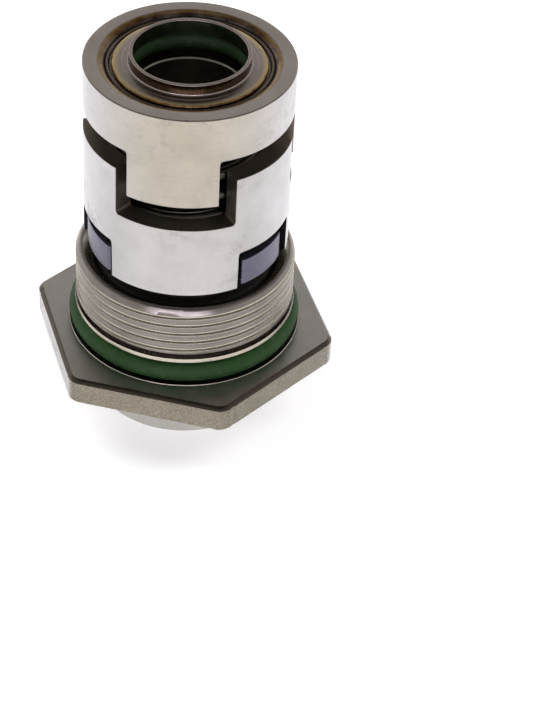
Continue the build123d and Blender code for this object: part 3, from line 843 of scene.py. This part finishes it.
class SEAL_OT_driver_ring(bpy.types.Operator):
    """Driver ring: lands between notches above, legs between windows below, web inside."""

    bl_idname = "seal.driver_ring"
    bl_label = "Driver Ring"

    def execute(self, context):
        size = context.scene.seal_sizes
        cage = CUP_HIGH.y / MM
        inner = cage - size.cage_wall / MM
        notch, window = size.notch_bottom / MM, size.window_top / MM
        rounding = size.corner_round / MM
        front = FRONT + degrees(size.crown_turn)
        side = front + 60
        half_notch, half_window = degrees(size.notch_angle) / 2, degrees(size.window_angle) / 2
        bore, web_low, web_high = 9.1, 34.45, 36.3
        outline = [
            (inner, window), (cage, window), (cage, notch), (inner, notch),
            (inner, web_high), (bore, web_high), (bore, web_low), (inner, web_low),
        ]
        piece = draw_outline("driver_ring_milled", outline)
        stations = corner_stations(front, half_notch, rounding, cage)
        stations += corner_stations(side, half_window, rounding, cage)
        spin_outline(piece, cut_stations(COARSE, stations))
        rise, drop = RING_HIGH.z - size.notch_bottom, RING_LOW.z - size.window_top
        push_faces(piece, notch, rise, lambda r, a: not near_centres(a, front, half_notch))

        def in_leg(r, angle):
            return r > inner and not near_centres(angle, side, half_window)

        push_faces(piece, window, drop, in_leg)
        round_corners(piece, notch, front, half_notch, rounding, cage, 1)
        round_corners(piece, window, side, half_window, rounding, cage, -1)
        finish_mesh(piece)
        break_edges(piece, size.edge_round)

        def choose(r, a, z, n):
            if r > cage - 0.3 and outward(a, n) > OUTSIDE:
                return "ring"
            # The windows' jambs take the dark tone that paints their shade.
            return "sawn" if z < window + 0.01 and n.z > -0.5 else "milled"

        paint_faces(piece, ("ring", "milled", "sawn"), choose)
        settle(piece, "seal_head", "polished_stainless", "driver_ring")
        return {"FINISHED"}


class SEAL_OT_spring(bpy.types.Operator):
    """Spring: round wire wound on the coil's radius, both ends ground flat."""

    bl_idname = "seal.spring"
    bl_label = "Spring"

    def execute(self, context):
        size = context.scene.seal_sizes
        low, high = SPRING_LOW.z, SPRING_HIGH.z
        turns = (high - low) / size.spring_pitch
        sections, steps = 22, 300  # round the wire and along it
        bpy.ops.object.select_all(action="DESELECT")
        bpy.ops.mesh.primitive_circle_add(
            vertices=sections, radius=size.wire / 2, fill_type="NGON",
            location=(size.spring_radius, 0, low), rotation=(radians(90), 0, 0),
        )
        piece = context.object
        piece.name = piece.data.name = "spring_wound"
        bpy.ops.object.transform_apply(location=True, rotation=True, scale=True)
        screw = piece.modifiers.new("wind", "SCREW")
        screw.axis = "Z"
        screw.angle = 2 * pi * turns
        screw.screw_offset = high - low
        screw.steps = screw.render_steps = steps
        bpy.ops.object.modifier_apply(modifier=screw.name)
        piece.data.transform(Matrix.Rotation(size.spring_turn, 4, "Z"))
        for vertex in piece.data.vertices:
            vertex.co.z = min(max(vertex.co.z, low), high)
        bpy.ops.object.mode_set(mode="EDIT")
        bpy.ops.mesh.select_all(action="SELECT")
        bpy.ops.mesh.fill_holes(sides=0)
        tidy_mesh()
        finish_mesh(piece)
        bpy.ops.object.shade_smooth_by_angle(angle=radians(40))
        paint_faces(piece, ("wire",))
        settle(piece, "sleeve", "spring_wire", "spring")
        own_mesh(piece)
        return {"FINISHED"}


class SEAL_OT_seal_ring(bpy.types.Operator):
    """Rotating seal ring: ground silicon carbide with three drive lugs and a raised nose."""

    bl_idname = "seal.seal_ring"
    bl_label = "Rotating Seal Ring"

    def execute(self, context):
        size = context.scene.seal_sizes
        low, high = SEAL_LOW.z / MM, SEAL_HIGH.z / MM
        lug_low, lug_high, body, lug = 27.8, 32.2, 12.0, 14.7
        face, nose = 10.0, 11.8  # inner and outer radius of the running face
        bore, pocket, pocket_floor = 9.37, 10.87, high - 3.0
        half = degrees(size.seal_lug_angle) / 2
        first = FRONT + degrees(size.crown_turn) + 60
        corners = [
            (face, low + 0.3, 0), (face, low, 0.12), (nose, low, 0.12), (nose, lug_low, 0.1),
            (body, lug_low, 0), (body, lug_high, 0), (body, high, 0.2), (pocket, high, 0.15),
            (pocket, pocket_floor, 0.1), (bore, pocket_floor, 0.1), (bore, lug_low, 0.2),
            (face, lug_low, 0.05), (face, low + 0.3, 0),
        ]
        stations = [first + third + side for third in THIRDS for side in (-half, half)]
        piece = draw_outline("seal_ring_ground", round_outline(corners)[:-1])
        spin_outline(piece, cut_stations(3.0, stations))
        select_where(
            piece,
            "FACE",
            lambda r, a, z, n: r > body - 0.1
            and lug_low + 0.01 < z < lug_high - 0.01
            and abs(n.z) < 0.1
            and near_centres(a, first, half),
        )
        bpy.ops.mesh.extrude_region_move()
        grow = lug / body
        bpy.ops.transform.resize(value=(grow, grow, 1), center_override=(0, 0, 0))
        select_where(
            piece,
            "EDGE",
            lambda r, a, z, run: r > lug - 0.1
            and abs(run.z) > 3 * MM
            and not near_centres(a, first, half - 1),
        )
        bpy.ops.mesh.bevel(offset=0.5 * MM, segments=5)
        finish_mesh(piece)
        break_edges(piece, 0.1 * MM)

        def choose(r, a, z, n):
            return "ceramic" if z > lug_low - 0.02 and r > body else "raw_ceramic"

        paint_faces(piece, ("ceramic", "raw_ceramic"), choose)
        settle(piece, "seal_head", "silicon_carbide", "rotating_seal_ring")
        return {"FINISHED"}


class SEAL_OT_carrier(bpy.types.Operator):
    """Seal carrier: hexagon, O-ring groove, land, relief, real M33 x 1.5 thread and the pocket."""

    bl_idname = "seal.carrier"
    bl_label = "Seal Carrier"

    columns, turns = 384, 9  # of the thread's skin, before it is cut
    corner = 2.5  # rounding of the hexagon's corners
    hex_top = 12.7
    relief_top = 17.9
    bore = 9.7
    seat = 17.5  # radius of the shallow seat in the hexagon's face, under the O-ring
    # The lead turns over into the rim: (level, drop below the crests).
    lead = ((25.0, 0.0), (25.62, 0.36), (25.84, 0.51), (25.99, 0.67), (26.07, 0.83), (26.1, 1.0))

    def execute(self, context):
        size = context.scene.seal_sizes
        piece = self.cut_thread(size)
        self.follow(piece, CARRIER_HIGH.z / MM, self.pocket_side())
        self.follow(piece, self.relief_top, self.groove_side())
        self.follow(piece, self.hex_top, self.hexagon_side(size))
        select_where(
            piece, "EDGE", lambda r, a, z, run: r < self.bore + 0.1 and abs(run.z) < SAME * MM
        )
        self.keep_rims(piece)
        bpy.ops.mesh.bridge_edge_loops()
        tidy_mesh()
        bpy.ops.mesh.select_all(action="DESELECT")
        bpy.ops.mesh.select_non_manifold()
        bpy.ops.mesh.merge(type="COLLAPSE")  # the tip where the groove leaves the relief
        tidy_mesh()
        finish_mesh(piece)
        names = ("turned", "bar", "hexagon", "chamfer", "land", "lead")
        paint_faces(piece, names, self.choose)
        settle(piece, "carrier", "turned_stainless", "seal_carrier")
        return {"FINISHED"}

    def choose(self, r, a, z, n):
        """The finish of a face by its place and normal."""
        if z > self.lead[0][0] and r > 15.4:
            return "lead"
        # A lighter tone on the land, and painted highlights on the burr round the O-ring's seat and
        # on the thread's up-facing edges.
        above = z - self.hex_top
        edge = above > 0 and (z > self.relief_top or above < 0.1) and r < 17.65 and n.z > 0.3
        if 16.4 < z < 17.0 and r > 16.6 or edge:
            return "land"
        if above > -0.01 or r < self.seat - 0.01 or z < CARRIER_LOW.z / MM + 0.01:
            return "turned" if above > 0.01 or r < self.seat - 0.01 or n.z < 0 else "hexagon"
        return "chamfer" if n.z > 0.3 else "bar"

    def cut_thread(self, size):
        """The thread's skin: one upright profile screwed round the axis and cut at both ends."""
        pitch, crest = size.thread_pitch / MM, size.thread_radius / MM
        depth, mouth = size.thread_depth / MM, size.thread_mouth / MM
        low, high = self.relief_top, CARRIER_HIGH.z / MM
        first = low - pitch * (2 + degrees(size.thread_entry) / 360) + mouth / 2
        soft_edge = 0.05  # broken edge of a crest
        rest = pitch - mouth
        across = (0.16, 0.3, 0.5, 0.7, 0.84)  # shares of the groove's mouth
        groove = [(rest + mouth * t, depth * sin(pi * t) ** 0.8) for t in across]
        profile = [(0.0, soft_edge), (0.3 * soft_edge, 0.3 * soft_edge), (soft_edge, 0.0)]
        profile += [(rest - at, drop) for at, drop in reversed(profile)] + groove
        outline = [
            (crest - drop, first + turn_number * pitch + at)
            for turn_number in range(self.turns)
            for at, drop in profile
        ]
        piece = draw_outline("seal_carrier_threaded", outline, closed=False)
        bpy.ops.object.mode_set(mode="OBJECT")
        screw = piece.modifiers.new("thread", "SCREW")
        screw.axis = "Z"
        screw.angle = 2 * pi
        screw.screw_offset = size.thread_pitch
        screw.steps = screw.render_steps = self.columns
        bpy.ops.object.modifier_apply(modifier=screw.name)
        bpy.ops.object.mode_set(mode="EDIT")
        tidy_mesh()
        levels = [(low, 1), (high, -1)] + [(level, 0) for level, drop in self.lead[:-1]]
        for level, side in levels:
            bpy.ops.mesh.select_all(action="SELECT")
            bpy.ops.mesh.bisect(
                plane_co=(0, 0, level * MM), plane_no=(0, 0, 1), threshold=0.0001 * MM,
                clear_inner=side == 1, clear_outer=side == -1,
            )
        for level in (low, high):
            select_where(piece, "VERT", lambda r, a, z, level=level: abs(z - level) < SAME)
            bpy.ops.mesh.remove_doubles(threshold=0.06 * MM)

        def hold(vertex, r, angle, z):
            limit = crest - self.lead_drop(z)
            if r > limit:
                set_radius(vertex, r, limit)

        each_vertex(piece, hold)
        return piece

    def lead_drop(self, level):
        """How far the rounded lead lies below the crests at a level."""
        if level <= self.lead[0][0]:
            return 0.0
        for (z0, drop0), (z1, drop1) in zip(self.lead, self.lead[1:]):
            if level <= z1 + SAME:
                return drop0 + (drop1 - drop0) * min(1.0, (level - z0) / (z1 - z0))
        return self.lead[-1][1]

    def pocket_side(self):
        """From the thread's top over the rim and down the seat's pocket, as (radius, level)."""
        high = CARRIER_HIGH.z / MM
        pocket, floor = 14.0, 18.08
        return round_outline([
            (15.5, high, 0), (15.45, high, 0.02), (pocket, high - 1.5, 0.1), (pocket, floor, 0.2),
            (self.bore, floor, 0.15), (self.bore, 17.0, 0),
        ])

    def groove_side(self):
        """From the thread's foot down the relief, over the land and out of the O-ring groove."""
        relief_wall, groove_wall = 15.5, 13.95
        land_top, land_foot, seat_floor = 17.0, 16.4, self.hex_top - 0.25
        return round_outline([
            (16.45, self.relief_top, 0), (relief_wall, self.relief_top, 0.1),
            (relief_wall, land_top, 0.15), (16.62, land_top, 0.03), (16.7, land_foot, 0.03),
            (groove_wall, land_foot, 0.1), (groove_wall, seat_floor, 0.2),
            (self.seat, seat_floor, 0.06), (self.seat, self.hex_top, 0),
        ])

    def hexagon_side(self, size):
        """Over the burr, the hexagon's face, its chamfered rim and side and back to the bore. A
        radius may be a function of the angle."""
        top, low = self.hex_top, CARRIER_LOW.z / MM
        flats = size.hexagon_flats / 2 / MM

        def hexagon(inset):
            def radius(angle):
                away = off_centre(angle, FRONT + 30 + degrees(size.hexagon_turn)) % 60 - 30
                reach, rounding = flats - inset, self.corner - inset
                centre = (reach - rounding) / cos(radians(30))
                flat = reach / cos(radians(away))
                turned = radians(30 - abs(away))
                lift = centre * sin(turned)
                arc = centre * cos(turned) + sqrt(max(0.0, rounding**2 - lift**2))
                return min(flat, arc) if lift < rounding / 2 + 0.4 else flat

            return radius

        burr = [(17.52, top + 0.08), (17.56, top + 0.08), (17.62, top)]
        sides = [(0.58, top), (0.5, top - 0.05), (0.06, top - 0.52), (0.0, top - 0.6)]
        sides += [(0.0, low + 0.35), (0.35, low)]
        return [*burr, *[(hexagon(inset), level) for inset, level in sides], (self.bore, low)]

    def keep_rims(self, piece):
        """Of the selected edges keep the open ones."""
        mesh = bmesh.from_edit_mesh(piece.data)
        for edge in mesh.edges:
            if edge.select and not edge.is_boundary:
                edge.select_set(False)
        bmesh.update_edit_mesh(piece.data)

    def follow(self, piece, level, points):
        """Extrude the open loop at the level through the points. A radius may be a function of
        the angle."""
        select_where(
            piece,
            "EDGE",
            lambda r, a, z, run: abs(z - level) < 0.004 and abs(run.z) < SAME * MM,
        )
        self.keep_rims(piece)
        for radius, height in points:
            bpy.ops.mesh.extrude_region_move()

            def place(vertex, r, angle, z, radius=radius, height=height):
                if vertex.select:
                    set_radius(vertex, r, radius(angle) if callable(radius) else radius)
                    vertex.co.z = height * MM

            each_vertex(piece, place)


class SEAL_OT_o_rings(bpy.types.Operator):
    """O-rings: round section with the fine moulding seam at the outer and inner diameter."""

    bl_idname = "seal.o_rings"
    bl_label = "O-Rings"

    seam = 0.035  # height of the moulding seam, mm
    # Piece, node, body, sag and stretch in mm, finish: the carrier's ring hangs a little.
    rings = (
        # The shaft O-ring takes the darker rubber: painted shade.
        ("shaft_o_ring_moulded", "shaft_o_ring", "sleeve", 0.0, 0.0, "rubber_shaded"),
        ("carrier_o_ring_moulded", "carrier_o_ring", "carrier", 0.35, 0.2, "rubber"),
    )

    def execute(self, context):
        for name, node, body, sag, stretch, skin in self.rings:
            low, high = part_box(node)
            section = (high.z - low.z) / MM
            middle = high.y / MM - section / 2 + stretch
            level = (high.z + low.z) / 2 / MM - sag
            outline = []
            for step in range(36):
                turned = radians(10 * step)
                reach = section / 2 - (0.0 if step in (0, 18) else self.seam)
                outline.append((middle + reach * cos(turned), level + reach * sin(turned)))
            piece = lathe(name, outline, 180)
            bpy.ops.object.shade_smooth()
            paint_faces(piece, (skin,))
            settle(piece, body, "green_fkm", node)
        return {"FINISHED"}


class SEAL_OT_inner_pieces(bpy.types.Operator):
    """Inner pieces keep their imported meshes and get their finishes."""

    bl_idname = "seal.inner_pieces"
    bl_label = "Inner Pieces"

    def execute(self, context):
        for name, nodes in {
            "collar": ("clamp_collar",),
            "turned": ("seat_pin",),
            "bored": ("shaft_sleeve", "upper_spring_washer", "lower_spring_washer"),
            "wire": ("seat_snap_ring", "collar_snap_ring"),
            "raw_ceramic": ("stationary_seat",),
            "rubber": ("ring_o_ring", "seat_o_ring"),
            "plastic": ("ring_backup_washer",),
            "black": ("set_screw_1", "set_screw_2", "set_screw_3"),
        }.items():
            for node in nodes:
                materials = NODES[node].data.materials
                materials.clear()
                materials.append(finish(name))
        return {"FINISHED"}


# ---- operators: studio ---------------------------------------------------------------------------


class SEAL_OT_stage(bpy.types.Operator):
    """Studio: pale floor with a cove, grey room, soft lamps and the camera."""

    bl_idname = "seal.stage"
    bl_label = "Studio"

    # How much the paper glows to each kind of ray.
    glows = {"Is Camera Ray": 0.5, "Is Glossy Ray": 0.3, "Is Transmission Ray": 0.3}
    # The room from the horizon, 0, to the ceiling, 1: (height, colour).
    walls = (
        (0.0, (0.75, 0.75, 0.76, 1)),
        (0.4, (0.5, 0.49, 0.485, 1)),
        (0.62, (0.4, 0.385, 0.375, 1)),
        (0.7, (0.34, 0.325, 0.315, 1)),
        (0.77, (0.13, 0.122, 0.116, 1)),
        (0.91, (0.1, 0.092, 0.09, 1)),
        (0.97, (0.32, 0.31, 0.3, 1)),
    )
    # Name, place, width and height in metres, watts, colour, whether polished steel mirrors it.
    boxes = (
        ("front_box", (0.1, -1.35, 0.52), 1.5, 0.3, 6.0, "#F1EBFF", True),
        ("left_box", (-1.1, 0.3, 1.2), 0.8, 0.8, 11.5, "#FFFFFF", False),
        ("right_box", (1.1, 0.4, 1.2), 0.8, 0.8, 10.5, "#FFFFFF", False),
    )
    aim = Vector((0, 0, 0.03))  # what the lamps look at

    def execute(self, context):
        studio = context.scene.seal_studio
        self.floor(studio)
        self.room(context.scene)
        self.lamps()
        self.camera(context.scene, studio)
        return {"FINISHED"}

    def floor(self, studio):
        """Floor and cove turned as one sheet, white to the camera and in reflections."""
        flat, wall, height = studio.floor_radius, studio.cove_radius, studio.cove_height
        curve = wall - flat
        points = [(0.1, 0.0), (flat / MM, 0.0)]  # from a pinhole in the middle
        for t in range(10, 91, 10):
            bend = radians(t)
            points.append(((flat + curve * sin(bend)) / MM, height * (1 - cos(bend)) / MM))
        piece = lathe("studio_floor", points, 128, closed=False)
        bpy.ops.object.shade_smooth()
        material, shader, add = new_material("studio_paper", {})
        tree = material.node_tree
        tree.nodes.remove(shader)
        paper = add("BsdfDiffuse", {"Color": studio.floor_colour})
        path = add("LightPath").node.outputs
        glow = 0.0
        for kind, share in self.glows.items():
            glow = add("Math", [path[kind], share, glow], operation="MULTIPLY_ADD")
        lit = add("Emission", {"Color": studio.floor_colour, "Strength": glow})
        set_inputs(tree.nodes["Material Output"], {"Surface": add("AddShader", [paper, lit])})
        piece.data.materials.append(material)

    def room(self, scene):
        """Grey room: lighter at the horizon, a dark band above it and a pale ceiling."""
        world = bpy.data.worlds.new("studio_room")
        scene.world = world
        world.use_nodes = True
        tree = world.node_tree
        view = add_node(tree, "TexCoord", out="Generated")
        height = add_node(tree, "SeparateXYZ", [view], out=2)
        shade = add_node(tree, "ValToRGB", [height], stops=self.walls)
        set_inputs(tree.nodes["Background"], {"Color": shade})

    def lamps(self):
        """Soft boxes: a wide one behind the camera, one on each side overhead."""
        for name, place, width, height, power, tint, mirrored in self.boxes:
            lamp = bpy.data.lights.new(name, "AREA")
            lamp.shape = "RECTANGLE"
            lamp.size, lamp.size_y = width, height
            lamp.energy = power
            lamp.color = linear(tint)[:3]
            holder = bpy.data.objects.new(name, lamp)
            bpy.context.scene.collection.objects.link(holder)
            holder.location = place
            holder.visible_glossy = mirrored
            gaze = self.aim - Vector(place)
            holder.rotation_euler = gaze.to_track_quat("-Z", "Y").to_euler()

    def camera(self, scene, studio):
        """Camera above and in front, looking down on the seal."""
        eye = bpy.data.cameras.new("studio_camera")
        eye.sensor_width = 36.0
        eye.lens = studio.focal_length
        eye.clip_start, eye.clip_end = 0.01, 20.0
        holder = bpy.data.objects.new("studio_camera", eye)
        scene.collection.objects.link(holder)
        holder.location = studio.camera_place
        holder.rotation_euler = (
            Matrix.Rotation(studio.camera_heading, 3, "Z")
            @ Matrix.Rotation(pi / 2 - studio.camera_dip, 3, "X")
            @ Matrix.Rotation(studio.camera_roll, 3, "Z")
        ).to_euler()
        scene.camera = holder
        scene.view_settings.view_transform = "Standard"


class SEAL_PT_panel(bpy.types.Panel):
    """Buttons for the seal's pieces and studio."""

    bl_idname = "SEAL_PT_panel"
    bl_label = "Shaft Seal"
    bl_space_type = "VIEW_3D"
    bl_region_type = "UI"
    bl_category = "Shaft Seal"

    def draw(self, context):
        layout = self.layout
        for step in STEPS:
            layout.operator(step.bl_idname)
        for group in ("seal_sizes", "seal_finishes", "seal_studio"):
            box = layout.box()
            owner = getattr(context.scene, group)
            for key in owner.__annotations__:
                box.prop(owner, key)


STEPS = (
    SEAL_OT_driver_cup,
    SEAL_OT_weld_bead,
    SEAL_OT_cap_ring,
    SEAL_OT_driver_ring,
    SEAL_OT_spring,
    SEAL_OT_seal_ring,
    SEAL_OT_carrier,
    SEAL_OT_o_rings,
    SEAL_OT_inner_pieces,
    SEAL_OT_stage,
)
GROUPS = {"seal_sizes": SealSizes, "seal_finishes": SealFinishes, "seal_studio": SealStudio}


def register():
    for group in GROUPS.values():
        bpy.utils.register_class(group)
    for step in STEPS:
        bpy.utils.register_class(step)
    bpy.utils.register_class(SEAL_PT_panel)
    for key, group in GROUPS.items():
        setattr(bpy.types.Scene, key, bpy.props.PointerProperty(type=group))


def unregister():
    for key in GROUPS:
        delattr(bpy.types.Scene, key)
    bpy.utils.unregister_class(SEAL_PT_panel)
    for step in reversed(STEPS):
        bpy.utils.unregister_class(step)
    for group in reversed(GROUPS.values()):
        bpy.utils.unregister_class(group)


def main():
    """Build every piece."""
    register()
    for step in STEPS:
        family, action = step.bl_idname.split(".")
        getattr(getattr(bpy.ops, family), action)()


if __name__ == "__main__":
    main()
